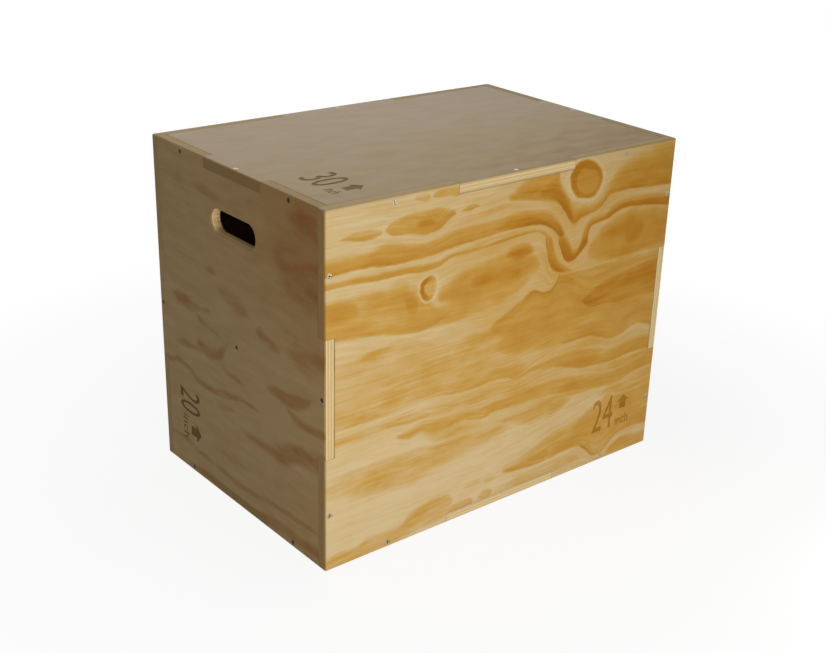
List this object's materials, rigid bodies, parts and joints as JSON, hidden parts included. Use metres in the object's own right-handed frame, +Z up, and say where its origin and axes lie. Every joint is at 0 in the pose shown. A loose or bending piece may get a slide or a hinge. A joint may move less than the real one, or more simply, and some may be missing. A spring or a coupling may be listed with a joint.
{
  "type": "plyo box",
  "caption": "Plywood plyo box of finger-jointed panels held by countersunk screws, with an inner brace and hand slots in its ends, standing on different sides to set its jump height.",
  "frame": {"origin": "middle of the underside as the box stands at its middle height", "axes": "+X along the longest side, +Y along the shortest side from front to back, +Z up"},
  "size_m": [0.762, 0.508, 0.6096],
  "materials": {
    "plywood": "pine plywood, clear sanded",
    "screw_steel": "bright zinc plated"
  },
  "bodies": {
    "root": {"front_panel": "plywood", "back_panel": "plywood", "left_panel": "plywood", "right_panel": "plywood", "top_panel": "plywood", "bottom_panel": "plywood", "center_brace": "plywood", "front_panel_screws": "screw_steel", "back_panel_screws": "screw_steel", "left_panel_screws": "screw_steel", "right_panel_screws": "screw_steel", "top_panel_screws": "screw_steel", "bottom_panel_screws": "screw_steel", "brace_screws": "screw_steel"}
  },
  "joints": []
}
